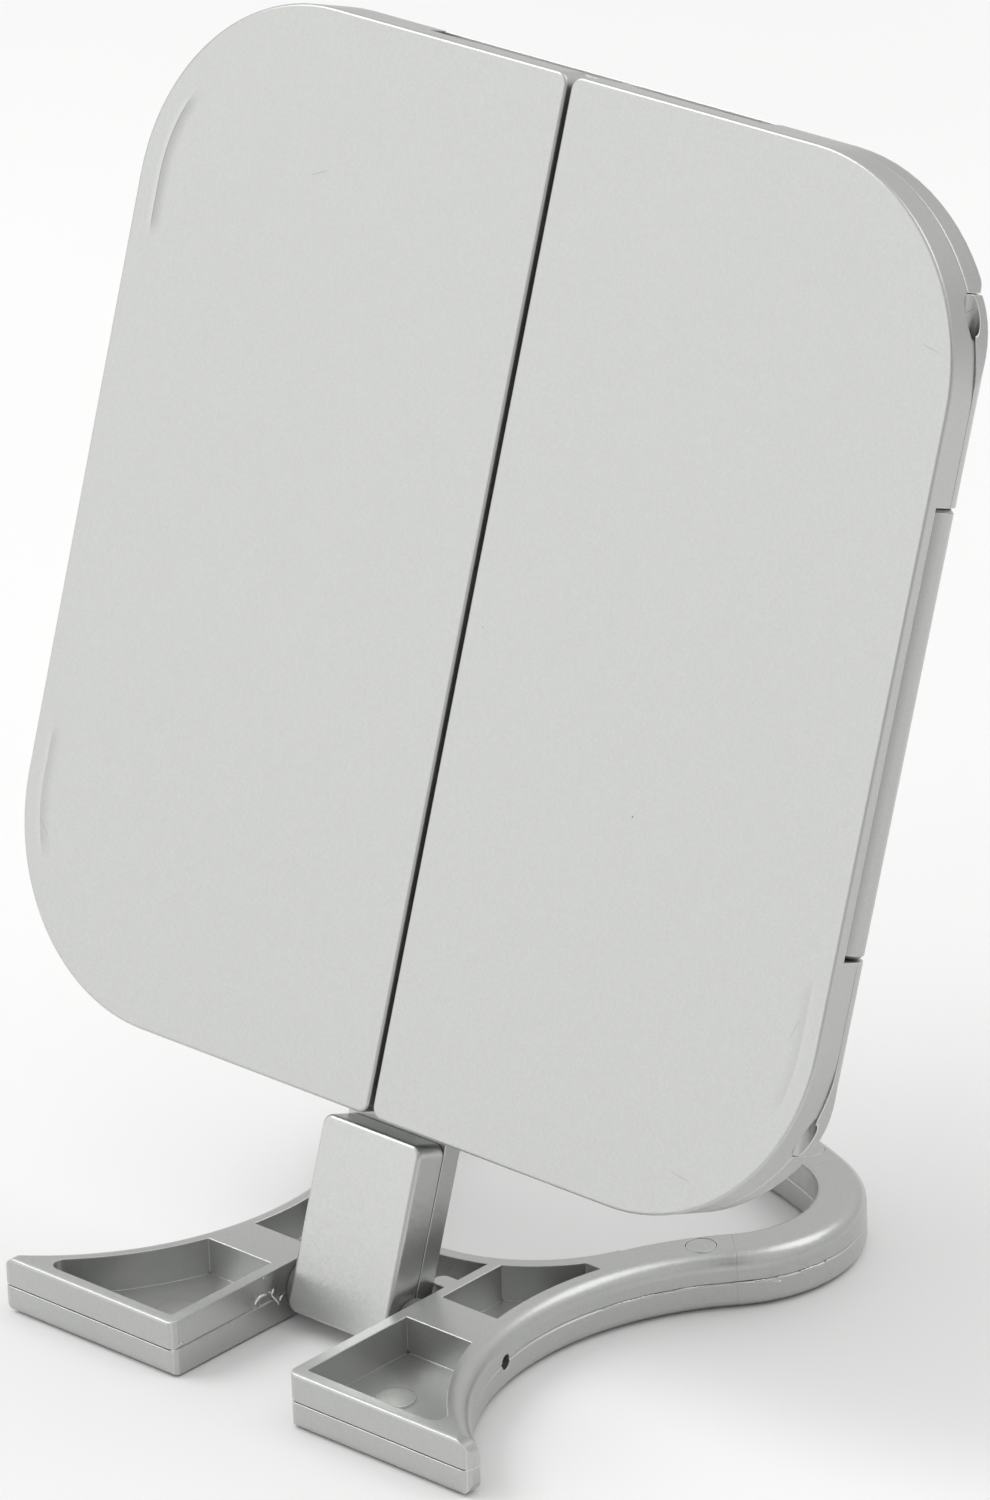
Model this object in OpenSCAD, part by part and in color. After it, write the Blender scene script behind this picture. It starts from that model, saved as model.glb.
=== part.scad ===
// Trifold vanity mirror: a closed three-panel head that tilts on a keyhole-shaped stand.
// Frame: +X right, -Y front, +Z up. The origin is on the floor under the stand's middle.

/* [Head] */
// Width of the closed head
head_w = 178; // [160:1:200]
// Height of the closed head
head_h = 177; // [160:1:200]
// Radius of the head's four corners
head_r = 36; // [28:1:42]
// Thickness of a door, with its mirror
door_t = 6; // [5.6:0.1:7]
// Thickness of the rear housing
housing_t = 6; // [5.8:0.1:7]
// Wall thickness of the head's shells
head_wall = 1.8; // [1.5:0.1:2]
// Thickness of the housing's back panel
back_t = 2; // [1.8:0.1:2.2]
// Gap between the two doors at the seam
seam_gap = 1; // [0.8:0.1:1.6]
// Radius of a door's corners at the seam
seam_r = 2.2; // [2.2:0.1:4]
// Fillet round each door's front edge
door_edge_r = 0.5; // [0.4:0.1:1.4]
// Fillet round the housing's back edge
back_edge_r = 2; // [1:0.1:2.2]
// Lean of the head on its back stop, in degrees
lean = 19.15; // [15:0.05:22]
// Width of the finger scoop in the housing's top edge
scoop_w = 74; // [40:1:90]
// Depth of the finger scoop
scoop_in = 0.9; // [0.5:0.1:1.2]

/* [Door hinges] */
// Distance of a hinge pin's axis from the head's side
pin_inset = 3.6; // [3.4:0.1:4]
// Radius of the door's knuckles
knuckle_r = 3.55; // [3.3:0.05:3.55]
// Radius of the housing's barrel
barrel_r = 3.5; // [3.3:0.1:3.6]
// Length of the housing's barrel
barrel_len = 74; // [60:1:90]
// Length of the side notch that takes barrel and knuckles
notch_len = 142.6; // [134:0.2:144]
// Gap at each end of the barrel
end_gap = 0.4; // [0.3:0.05:0.8]
// Radius of a hinge pin
hinge_pin_r = 1.2; // [1:0.05:1.3]
// Length of a hinge pin
hinge_pin_len = 50; // [40:1:56]

/* [Mirrors] */
// Thickness of the mirror glass
glass_t = 1.8; // [1.6:0.1:2]
// Width of the frame that shows round each mirror
frame_w = 6.5; // [5.5:0.5:9]
// Overlap of a frame onto its glass
glass_lap = 1.8; // [1:0.1:2]
// Radius of a mirror's big corners
glass_r = 27; // [20:1:30]

/* [Neck] */
// Width of the neck
neck_w = 22; // [18:0.5:24]
// Thickness of the neck's front cover
cover_t = 6.4; // [5:0.1:7]
// Thickness of the tongue behind it
tongue_t = 3.9; // [3.4:0.1:4.4]
// Distance from the tilt pin to the head's lower edge
neck_drop = 33.3; // [33:0.1:40]
// Length of the neck below the tilt pin
neck_toe = 3.7; // [3:0.1:4.2]
// Gap between the cover's top and the head
neck_gap = 2.4; // [1.5:0.1:4]
// Radius of the tilt pin
tilt_pin_r = 1.3; // [0.9:0.05:1.5]
// Thickness of a friction washer beside the neck
washer_t = 2.1; // [1.5:0.1:2.5]
// Radius of the friction washers
washer_r = 4.6; // [4:0.1:4.8]

/* [Stand] */
// Height of the stand
stand_h = 10.5; // [9.5:0.1:12]
// Length of the stand, front to back
stand_l = 124.5; // [115:0.5:135]
// Width over the two feet
feet_w = 106; // [96:1:112]
// Width over the waist
waist_w = 61.8; // [56:0.2:66]
// Radius of the waist's hollow sides
waist_r = 49.3; // [44:0.1:54]
// Width over the ring
ring_w = 100.6; // [94:0.2:106]
// Radius of the ring's side bends
ring_r = 25; // [22:0.5:27]
// Distance from the ring's widest place to the stand's back
ring_back = 30.25; // [28:0.25:34]
// Width of the ring's band
band_w = 8.4; // [7.6:0.1:9.5]
// Fillet on the stand's upper outer edge
top_r = 3; // [2:0.1:3.4]
// Fillet on the stand's lower outer edge
foot_r = 1.6; // [1:0.1:2]
// Wall thickness of the stand's shells
stand_wall = 1.8; // [1.5:0.1:2.2]
// Rounding of the feet's upright corners
corner_r = 1.6; // [1:0.1:2.2]
// Depth of the trays and pockets
tray_depth = 6.7; // [5:0.1:7]
// Rounding of the trays' outer tips
tray_tip_r = 2; // [1:0.1:2.6]

/* [Fits] */
// Radial clearance of a pin in its bore
pin_clear = 0.05; // [0.02:0.01:0.09]
// Clearance between parts that are pushed together
part_clear = 0.2; // [0.1:0.05:0.3]
// Clearance round screw heads, pads, plugs and magnets in their seats
seat_clear = 0.1; // [0.05:0.05:0.2]
// Clearance round a screw that passes through a hole
pass_clear = 0.15; // [0.1:0.05:0.2]

/* [Hidden] */
$fn = 96;

// Head, in the panel frame: x right, y up from the lower edge, z forward from the back plane
head_t = housing_t + door_t;
pin_x = head_w / 2 - pin_inset;
notch_clear = 0.65;
notch_x = pin_x - knuckle_r - notch_clear;
notch_back = 2.6;
notch_slope = 3.4;
notch_y0 = (head_h - notch_len) / 2;
notch_y1 = head_h - notch_y0;
barrel_y0 = (head_h - barrel_len) / 2;
barrel_y1 = head_h - barrel_y0;
strip_z = housing_t + barrel_r + end_gap;
hinge_wall = 1.7;
cavity_x = notch_x - hinge_wall;
cavity_r = head_r - head_wall - 1.2;
web_z = housing_t - barrel_r + 0.15;
barrel_c = 0.6;
pin_y0 = barrel_y1 - hinge_pin_len / 2;
pin_c = 0.3;
bore_core = 5;
knuckle_bulge = 0.3;
knuckle_in = 0.9;
knuckle_top = 0.1;
root = 0.5;
mouth_r = hinge_pin_r + 0.45;
mouth_in = 0.8;
line_c = 0.25;
line_h = 0.12;
line_d = 0.35;
scoop_z = 1.5;
slack = 1;

// Mirrors and frames
frame_x = cavity_x - part_clear;
frame_y0 = head_wall + part_clear;
frame_y1 = head_h - frame_y0;
frame_r = cavity_r - part_clear;
frame_gap = 0.15;
pane_gap = 0.1;
backing_t = 0.4;
centre_z1 = housing_t - 2 * frame_gap;
centre_glass_z = back_t + backing_t + 2 * pane_gap;
door_face_z = head_t - head_wall;
door_frame_z0 = housing_t + frame_gap;
door_frame_z1 = door_face_z - frame_gap;
door_glass_z = door_frame_z1 - backing_t - glass_t;
door_x0 = seam_gap / 2;
door_frame_x0 = door_x0 + head_wall + part_clear;
door_frame_r = 0.4;
catch_r = 2;
catch_x = 10;
catch_in = 4.6;
catch_t = 1;
frame_screw_x = 34;
frame_screw_in = 4.4;
side_screw_in = 2;

// Neck, in the panel frame
neck_y0 = -neck_drop - neck_toe;
sleeve_r = 2.2;
cover_edge_r = 0.7;
cover_side = 2;
cover_core_y = -28;
cover_boss_r = 3;
neck_screw_y = [-9, -22];

// Screws: a shank's radius, a head's radius, a head's thickness, the whole length
neck_screw = [1.1, 2.2, 1.2, 8];
frame_screw = [0.9, 1.8, 0.8, 4.6];
stand_screw = [0.9, 1.8, 1, 6.4];
ring_screw = [1.1, 2.1, 1.3, 7];
head_c = 0.3;
sink = 0.2;
tip_room = 0.3;

// Stand, in the stand frame: y from the front edge backwards
split_z = stand_h / 2;
pad_proud = 0.4;
pad_seat = 0.6;
pad_r = 2.6;
tilt_y = 32;
tilt_pin_in = 1.5;
tilt_pin_c = 0.2;
washer_gap = 0.1;
slot_w = neck_w + 2 * (washer_t + 2 * washer_gap);
ring_y = stand_l - ring_back;
waist_cx = waist_w / 2 + waist_r;
ring_cx = ring_w / 2 - ring_r;
waist_cy = ring_y - sqrt((waist_r + ring_r) ^ 2 - (waist_cx - ring_cx) ^ 2);
back_k = stand_l - ring_y;
back_r = (back_k ^ 2 + ring_cx ^ 2 - ring_r ^ 2) / (2 * (back_k - ring_r));
back_cy = stand_l - back_r;
hole_y = 48.3;
hole_lap = 0.3;
hole_k = waist_r + band_w - hole_lap;
hole_r = (waist_cx ^ 2 + (hole_y - waist_cy) ^ 2 - hole_k ^ 2) / (2 * (hole_k - hole_y + waist_cy));
hole_cy = hole_y + hole_r;
cross_wall = 2.2;
bend_a0 = atan2(waist_cy - ring_y, waist_cx - ring_cx);
bend_a1 = atan2(ring_y - back_cy, ring_cx);
hole_a1 = atan2(hole_cy - waist_cy, -waist_cx);
hole_a2 = hole_a1 - 180;
toe_a = 250;
joint_a = 0.02;
key_a = 2;
key_in = 0.15;
rib_a = [0.35, 1.2, 0.6];
flat_a = 0.8;
flat_b = 0.235;
flat_c = 0.565;
pocket_wall = 3.8;
tray_x = slot_w / 2 + 2.2;
tray_y0 = 2.2;
tray_y1 = 26.4;
pocket_x = slot_w / 2 + 2;
pocket_y0 = 35.2;
pocket_y1 = 59.4;
tray_z = stand_h - tray_depth;
cup_wall = 1;
cup_z = tray_z - 1.2;
inner_r = 1;
toe_r = 0.7;
toe_foot_r = 2.2;
front_foot_r = 1.4;
nub_r = 1.65;
nub_reach = 3.5;
nub_h = 3;
stop_gap = 0.15;
nub_y = tilt_y + (tongue_t + (stand_h - split_z) * sin(lean)) / cos(lean) + stop_gap + nub_r;
plug_r = 2.6;
plug_t = 1.2;
plug_p = band_w - plug_r - 1.05;
ring_seat = stand_h - plug_t - 2 * pin_clear;
boss_r = 4;
pilot_floor = 1;
stand_screw_at = [20, 29.1];
tip_flats = 6;
tip_y = tray_y0 + tray_tip_r;
tip_k = waist_r + pocket_wall + tray_tip_r;
tip_x = waist_cx - sqrt(tip_k ^ 2 - (waist_cy - tip_y) ^ 2);
tip_step = (90 + atan2(waist_cy - tip_y, waist_cx - tip_x)) / tip_flats;
mark = [25, 13];
mark_r = 3.5;
mark_h = 0.3;

// Plug places on the ring: on the waist's arc and on the back's arc, both sides
plug_a = [143.5, 70.7];
plug_right = [
    [
        waist_cx + (waist_r + plug_p) * cos(plug_a[0]),
        waist_cy + (waist_r + plug_p) * sin(plug_a[0])
    ],
    [(back_r - plug_p) * cos(plug_a[1]), back_cy + (back_r - plug_p) * sin(plug_a[1])]
];
plug_places = [for (q = plug_right) for (s = [-1, 1]) [s * q[0], q[1]]];
pad_a = 12;
pad_k = ring_r - band_w / 2 - 0.3;
pad_ring = [ring_cx + pad_k * cos(pad_a), ring_y + pad_k * sin(pad_a)];
pad_foot = [33, 8];
pad_places = [for (q = [pad_foot, pad_ring]) for (s = [-1, 1]) [s * q[0], q[1]]];

// ---------- shared shapes ----------

// Flat rounded rectangle with its own corner radii at the left and the right
module round_rect(x0, y0, x1, y1, rl, rr) {
    polygon([
        [x0 + rl, y0], [x1 - rr, y0], [x1, y0 + rr], [x1, y1 - rr],
        [x1 - rr, y1], [x0 + rl, y1], [x0, y1 - rl], [x0, y0 + rl]
    ]);
    for (c = [
        [x0 + rl, y0 + rl, rl], [x0 + rl, y1 - rl, rl],
        [x1 - rr, y0 + rr, rr], [x1 - rr, y1 - rr, rr]
    ])
        translate([c[0], c[1]]) circle(r = c[2]);
}

// Sweeps a profile (x inward from the rim, y up) round a rounded rectangle
module rim(x0, y0, x1, y1, rl, rr) {
    for (s = [
        [x0 + rl, y0, 0, x1 - rr - x0 - rl], [x1, y0 + rr, 90, y1 - y0 - 2 * rr],
        [x1 - rr, y1, 180, x1 - rr - x0 - rl], [x0, y1 - rl, 270, y1 - y0 - 2 * rl]
    ])
        translate([s[0], s[1], 0]) rotate([0, 0, s[2]]) rotate([90, 0, 90])
            linear_extrude(height = s[3]) children();
    for (c = [
        [x1 - rr, y0 + rr, -90, rr], [x1 - rr, y1 - rr, 0, rr],
        [x0 + rl, y1 - rl, 90, rl], [x0 + rl, y0 + rl, 180, rl]
    ])
        translate([c[0], c[1], 0]) rotate([0, 0, c[2]]) rotate_extrude(angle = 90)
            translate([c[3], 0]) mirror([1, 0]) children();
}

// Sweeps a profile round an arc, inward (towards the centre) from radius r
module bend_in(cx, cy, r, a0, a1) {
    translate([cx, cy, 0]) rotate_extrude(angle = a1 - a0, start = a0)
        translate([r, 0]) mirror([1, 0]) children();
}

// Sweeps a profile round an arc, outward from radius r
module bend_out(cx, cy, r, a0, a1) {
    translate([cx, cy, 0]) rotate_extrude(angle = a1 - a0, start = a0)
        translate([r, 0]) children();
}

// What a fillet takes off a corner at [0, 0] whose material lies at +x and -y
module fillet_cut(r) {
    difference() {
        translate([-slack, -r]) square([r + slack, r + slack]);
        translate([r, -r]) circle(r = r);
    }
}

// Cuts a corner like a fillet but in two flats, on the corner at [0, 0] with material at +x, -y
module flats_cut(r) {
    polygon([
        [-flat_b * r, -(flat_a + flat_c) * r], [flat_b * r, -flat_b * r],
        [(flat_a + flat_c) * r, flat_b * r], [-flat_b * r, flat_b * r]
    ]);
}

// Small chamfer that makes a parting line, on the corner at [0, 0] with material at +x and +y
module line_cut() {
    polygon([[-line_c, -line_c], [line_c * 2, -line_c], [-line_c, line_c * 2]]);
}

// Round bar along +y with chamfered ends
module bar(r, len, c) {
    rotate([-90, 0, 0]) rotate_extrude()
        polygon([[0, 0], [r - c, 0], [r, c], [r, len - c], [r - c, len], [0, len]]);
}

// Screw with a cross recess, its head's top at z = 0 and its shank along +z
module screw(size) {
    r = size[0];
    rh = size[1];
    th = size[2];
    len = size[3];
    difference() {
        rotate_extrude()
            polygon([
                [0, 0], [rh - head_c, 0], [rh, head_c], [rh, th],
                [r, th], [r, len - r / 2], [r / 2, len], [0, len]
            ]);
        for (m = [[rh, rh / 4], [rh / 4, rh]])
            translate([-m[0] / 2, -m[1] / 2, -slack]) cube([m[0], m[1], slack + th / 2]);
    }
}

module both_sides() {
    children();
    mirror([1, 0, 0]) children();
}

// Places the panel frame in the part's frame
module in_head() {
    translate([0, tilt_y - stand_l / 2, split_z]) rotate([-lean, 0, 0])
        translate([0, tongue_t, neck_drop]) rotate([90, 0, 0]) children();
}

// Places the stand frame in the part's frame
module in_stand() {
    translate([0, -stand_l / 2, 0]) children();
}

// ---------- stand ----------

// Band's profile in the upper shell, x inward from the outer edge, pulled in by a distance
module upper_edge(by) {
    difference() {
        translate([by, split_z + by]) square([band_w - 2 * by, stand_h - split_z - 2 * by]);
        translate([by, stand_h - by]) fillet_cut(top_r);
        translate([band_w - by, stand_h - by]) mirror([1, 0]) flats_cut(inner_r);
        translate([0, split_z]) line_cut();
        translate([band_w, split_z]) mirror([1, 0]) line_cut();
    }
}

// Band's profile in the lower shell
module lower_edge(by) {
    difference() {
        translate([by, pad_proud + by]) square([band_w - 2 * by, split_z - pad_proud - 2 * by]);
        translate([by, pad_proud + by]) mirror([0, 1]) fillet_cut(foot_r);
        translate([band_w - by, pad_proud + by]) rotate([0, 0, 180]) flats_cut(inner_r);
        translate([0, split_z]) mirror([0, 1]) line_cut();
        translate([band_w, split_z]) rotate([0, 0, 180]) line_cut();
    }
}

// Sweeps a profile along the ring and both waists. Each arc stops short by an angle at its ends
module band_sweep(back_end, bend_end, waist_end, waist_a1) {
    bend_in(0, back_cy, back_r, bend_a1 + back_end, 180 - bend_a1 - back_end) children();
    both_sides() bend_in(ring_cx, ring_y, ring_r, bend_a0 + bend_end, bend_a1 - bend_end)
        children();
    both_sides() bend_out(waist_cx, waist_cy, waist_r, bend_a0 + 180 + waist_end, waist_a1)
        children();
}

// Short pieces of a slimmer profile that join the arcs into one body
module band_keys() {
    both_sides() for (a = [bend_a0, bend_a1])
        bend_in(ring_cx, ring_y, ring_r, a - key_a, a + key_a) children();
}

module hole_disc(extra) {
    translate([0, hole_cy]) circle(r = hole_r + extra);
}

module waist_discs(extra) {
    for (s = [-1, 1])
        translate([s * waist_cx, waist_cy]) circle(r = waist_r + extra);
}

// Plan of the feet, of the land behind them and of the wall between slot and hole
module land_plan() {
    difference() {
        translate([-feet_w / 2, -slack]) square([feet_w, slack + hole_cy + hole_r * sin(hole_a2)]);
        waist_discs(band_w / 2);
        hole_disc(0);
        difference() {
            translate([-slot_w / 2, -2 * slack]) square([slot_w, stand_l]);
            hole_disc(cross_wall);
        }
    }
}

// What trims the feet: straight front and sides, rounded along the sides, and cut upright corners
module toe_cut() {
    len = feet_w;
    h = stand_h + 2 * slack;
    translate([-len, -len, -slack]) cube([2 * len, len, h]);
    both_sides() translate([feet_w / 2, -slack, -slack]) cube([len, waist_r, h]);
    both_sides() translate([feet_w / 2, waist_cy, 0]) rotate([90, 0, 0])
        linear_extrude(height = waist_cy + slack) {
            translate([0, stand_h]) mirror([1, 0]) fillet_cut(top_r);
            translate([0, pad_proud]) rotate([0, 0, 180]) fillet_cut(toe_foot_r);
        }
    both_sides() translate([feet_w / 2, 0, -slack]) linear_extrude(height = h)
        rotate([0, 0, 180]) flats_cut(corner_r);
    both_sides() translate([slot_w / 2, 0, -slack]) linear_extrude(height = h)
        mirror([0, 1]) flats_cut(corner_r);
}

// What rounds the acute tip of a tray's outline, in flats that cross its two walls
module tip_cut(r) {
    x1 = tip_x + 2 * r + slack;
    k = r / cos(tip_step / 2);
    a1 = tip_flats * tip_step - 90;
    polygon(concat(
        [for (i = [0:tip_flats]) [tip_x + k * sin(i * tip_step), tip_y - k * cos(i * tip_step)]],
        [
            [tip_x + (k + r) * cos(a1), tip_y + (k + r) * sin(a1)],
            [x1, tip_y + (k + r) * sin(a1)], [x1, tip_y - r - slack], [tip_x, tip_y - r - slack]
        ]
    ));
}

module tray_plan(grow) {
    x0 = tray_x - grow;
    y0 = tray_y0 - grow;
    r = tray_tip_r + grow;
    difference() {
        translate([x0, y0]) square([tip_x + 2 * r - x0, tray_y1 + grow - y0]);
        waist_discs(pocket_wall - grow);
        tip_cut(r);
    }
}

module pocket_plan(grow) {
    difference() {
        translate([pocket_x - grow, pocket_y0 - grow])
            square([waist_w / 2, pocket_y1 - pocket_y0 + 2 * grow]);
        waist_discs(pocket_wall - grow);
        hole_disc(cross_wall - grow);
    }
}

// Prism of both hollows of each foot, between two heights
module hollows(grow, z0, z1) {
    both_sides() translate([0, 0, z0]) linear_extrude(height = z1 - z0) tray_plan(grow);
    both_sides() translate([0, 0, z0]) linear_extrude(height = z1 - z0) pocket_plan(grow);
}

module at_plugs(z) {
    for (p = plug_places)
        translate([p[0], p[1], z]) children();
}

module at_stand_screws(z) {
    for (s = [-1, 1])
        translate([s * stand_screw_at[0], stand_screw_at[1], z]) children();
}

module at_pads(z) {
    for (p = pad_places)
        translate([p[0], p[1], z]) children();
}

// Both hollows of each foot as they open upwards, with a low round mark on each tray's floor
module open_hollows() {
    difference() {
        hollows(0, tray_z, stand_h + slack);
        for (s = [-1, 1])
            translate([s * mark[0], mark[1], 0]) cylinder(r = mark_r, h = tray_z + mark_h);
    }
}

// Hollow inside the band, left solid at its joints and round the screws
module band_hollow(z0, z1) {
    difference() {
        band_sweep(rib_a[0], rib_a[1], rib_a[2], hole_a1)
            translate([stand_wall, z0]) square([band_w - 2 * stand_wall, z1 - z0]);
        at_plugs(0) cylinder(r = boss_r, h = stand_h);
    }
}

// Long prism along x with a profile, cut from the feet's front edges
module front_cut(z) {
    translate([-feet_w, 0, z]) rotate([90, 0, 90]) linear_extrude(height = 2 * feet_w)
        children();
}

// Groove of the parting line in the slot's side walls
module slot_line() {
    for (s = [-1, 1])
        translate([s * slot_w / 2, 0, split_z]) rotate([90, 0, 180]) translate([0, 0, -slack])
            linear_extrude(height = tilt_y - washer_r) rotate([0, 0, 45])
                square(line_c * 1.4, center = true);
}

module tilt_bore() {
    translate([-feet_w / 2, tilt_y, split_z]) rotate([0, 90, 0])
        cylinder(r = tilt_pin_r + pin_clear, h = feet_w);
}

module nubs() {
    both_sides() translate([slot_w / 2, nub_y, stand_h - nub_h]) {
        translate([nub_r - nub_reach, 0, 0]) cylinder(r = nub_r, h = nub_h);
        translate([nub_r - nub_reach, -nub_r, 0])
            cube([nub_reach - nub_r + root, 2 * nub_r, nub_h]);
    }
}

module stand_upper() {
    in_stand() color("silver") difference() {
        union() {
            band_sweep(joint_a, joint_a, joint_a, toe_a) upper_edge(0);
            band_keys() upper_edge(key_in);
            translate([0, 0, split_z]) linear_extrude(height = stand_h - split_z) land_plan();
            hollows(cup_wall, cup_z, split_z + slack);
            nubs();
        }
        toe_cut();
        band_hollow(split_z - slack, stand_h - stand_wall);
        open_hollows();
        front_cut(stand_h) flats_cut(toe_r);
        front_cut(split_z) translate([-slack, -slack]) square([slack + line_d, slack + line_h]);
        slot_line();
        tilt_bore();
        at_plugs(stand_h - plug_t - pin_clear) cylinder(r = plug_r + seat_clear, h = stand_h);
        at_plugs(ring_seat - ring_screw[2] - sink)
            cylinder(r = ring_screw[1] + seat_clear, h = stand_h);
        at_plugs(0) cylinder(r = ring_screw[0] + pin_clear, h = stand_h);
        at_stand_screws(0)
            cylinder(r = stand_screw[0] + pin_clear, h = pad_proud + sink + stand_screw[3] + tip_room);
    }
}

module stand_lower() {
    in_stand() color("silver") difference() {
        union() {
            band_sweep(joint_a, joint_a, joint_a, toe_a) lower_edge(0);
            band_keys() lower_edge(key_in);
            translate([0, 0, pad_proud]) linear_extrude(height = split_z - pad_proud) land_plan();
        }
        toe_cut();
        band_hollow(pad_proud + stand_wall, stand_h);
        hollows(cup_wall + part_clear, cup_z - part_clear, stand_h);
        front_cut(pad_proud) mirror([0, 1]) flats_cut(front_foot_r);
        front_cut(split_z) translate([-slack, -line_h]) square([slack + line_d, slack + line_h]);
        slot_line();
        tilt_bore();
        at_plugs(pad_proud + pilot_floor) cylinder(r = ring_screw[0] + pin_clear, h = stand_h);
        at_stand_screws(0) cylinder(r = stand_screw[0] + pin_clear, h = stand_h);
        at_stand_screws(0)
            cylinder(r = stand_screw[1] + seat_clear, h = pad_proud + sink + stand_screw[2] + seat_clear);
        at_pads(0) cylinder(r = pad_r + seat_clear, h = pad_proud + pad_seat + seat_clear);
    }
}

module stand_pads() {
    in_stand() color("dimgray") at_pads(0) cylinder(r = pad_r, h = pad_proud + pad_seat);
}

module ring_plugs() {
    in_stand() color("silver") at_plugs(stand_h - plug_t - pin_clear) cylinder(r = plug_r, h = plug_t);
}

module ring_screws() {
    in_stand() color("gray") at_plugs(ring_seat) mirror([0, 0, 1]) screw(ring_screw);
}

module stand_screws() {
    in_stand() color("gray") at_stand_screws(pad_proud + sink) screw(stand_screw);
}

module tilt_pin() {
    len = waist_w - 2 * tilt_pin_in;
    in_stand() color("gray") translate([-len / 2, tilt_y, split_z]) rotate([0, 0, -90])
        bar(tilt_pin_r, len, tilt_pin_c);
}

module tilt_washers() {
    x0 = neck_w / 2 + washer_gap;
    in_stand() color("dimgray") both_sides() translate([x0, tilt_y, split_z]) rotate([0, 90, 0])
        difference() {
            cylinder(r = washer_r, h = washer_t);
            translate([0, 0, -slack]) cylinder(r = tilt_pin_r + pin_clear, h = slot_w);
        }
}

// ---------- head: housing and neck ----------

// Outline of the head in the panel frame, pulled in by a distance
module head_plan(by) {
    round_rect(by - head_w / 2, by, head_w / 2 - by, head_h - by, head_r - by, head_r - by);
}

// Side profile (x up the panel, y forward) swept across a width
module across(width) {
    translate([width / 2, 0, 0]) rotate([0, -90, 0]) linear_extrude(height = width)
        mirror([1, -1]) children();
}

module housing_rim_profile(width) {
    difference() {
        square([width, housing_t]);
        mirror([0, 1]) fillet_cut(back_edge_r);
        translate([0, housing_t]) mirror([0, 1]) line_cut();
    }
}

// Housing's barrel with its web, on the right
module barrel() {
    translate([pin_x, barrel_y0, housing_t]) bar(barrel_r, barrel_len, barrel_c);
    translate([notch_x - root, barrel_y0, web_z])
        cube([pin_x - notch_x + root, barrel_len, housing_t - web_z]);
}

// Bores of the two hinge pins of the right side, from a distance off the middle outwards
module hinge_bores(r, from) {
    for (m = [0, 1])
        translate([pin_x, m * head_h, housing_t]) mirror([0, m, 0])
            translate([0, head_h / 2 + from, 0]) rotate([-90, 0, 0]) cylinder(r = r, h = head_h);
}

// Both bores with their wider mouths at the head's corners
module hinge_holes() {
    hinge_bores(hinge_pin_r + pin_clear, bore_core);
    hinge_bores(mouth_r, pin_y0 + hinge_pin_len + mouth_in - head_h / 2);
}

// Side notch of the housing, its two ends sloped at the back, on the right
module side_notch() {
    z1 = housing_t + slack;
    run = notch_slope * (1 + slack / notch_back);
    translate([notch_x, 0, 0]) rotate([0, 90, 0]) mirror([1, 0, 0]) linear_extrude(height = head_w)
        polygon([
            [z1, notch_y0], [notch_back, notch_y0], [-slack, notch_y0 - run],
            [-slack, notch_y1 + run], [notch_back, notch_y1], [z1, notch_y1]
        ]);
}

module at_frame_screws(z) {
    for (s = [-1, 1]) {
        for (y = [frame_screw_in, head_h - frame_screw_in])
            translate([s * frame_screw_x, y, z]) children();
        translate([s * (frame_x - side_screw_in), head_h / 2, z]) children();
    }
}

module at_neck_screws(z) {
    for (y = neck_screw_y)
        translate([0, y, z]) children();
}

module sleeve_channel() {
    translate([-neck_w, -neck_drop, tongue_t]) rotate([0, 90, 0])
        cylinder(r = sleeve_r + pin_clear, h = 2 * neck_w);
}

// Side view of the tongue: its toe is rounded so that it clears the floor
module tongue_side() {
    difference() {
        translate([neck_y0, 0]) square([head_wall - neck_y0 - part_clear, tongue_t]);
        translate([neck_y0, 0]) mirror([0, 1]) fillet_cut(back_edge_r);
    }
}

module housing() {
    w = back_edge_r + root;
    in_head() color("silver") difference() {
        union() {
            difference() {
                union() {
                    rim(-head_w / 2, 0, head_w / 2, head_h, head_r, head_r) housing_rim_profile(w);
                    linear_extrude(height = housing_t) head_plan(w);
                }
                both_sides() side_notch();
                translate([0, 0, back_t]) linear_extrude(height = housing_t)
                    round_rect(-cavity_x, head_wall, cavity_x, head_h - head_wall, cavity_r, cavity_r);
            }
            both_sides() barrel();
            across(neck_w) tongue_side();
        }
        both_sides() hinge_holes();
        translate([-scoop_w / 2, head_h - scoop_in, scoop_z])
            cube([scoop_w, scoop_in + slack, housing_t]);
        at_frame_screws(-slack) cylinder(r = frame_screw[0] + pass_clear, h = 2 * housing_t);
        at_frame_screws(-slack)
            cylinder(r = frame_screw[1] + pass_clear, h = slack + sink + frame_screw[2] + seat_clear);
        at_neck_screws(-slack) cylinder(r = neck_screw[0] + pass_clear, h = 2 * housing_t);
        at_neck_screws(-slack)
            cylinder(r = neck_screw[1] + pass_clear, h = slack + sink + neck_screw[2] + seat_clear);
        sleeve_channel();
    }
}

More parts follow.
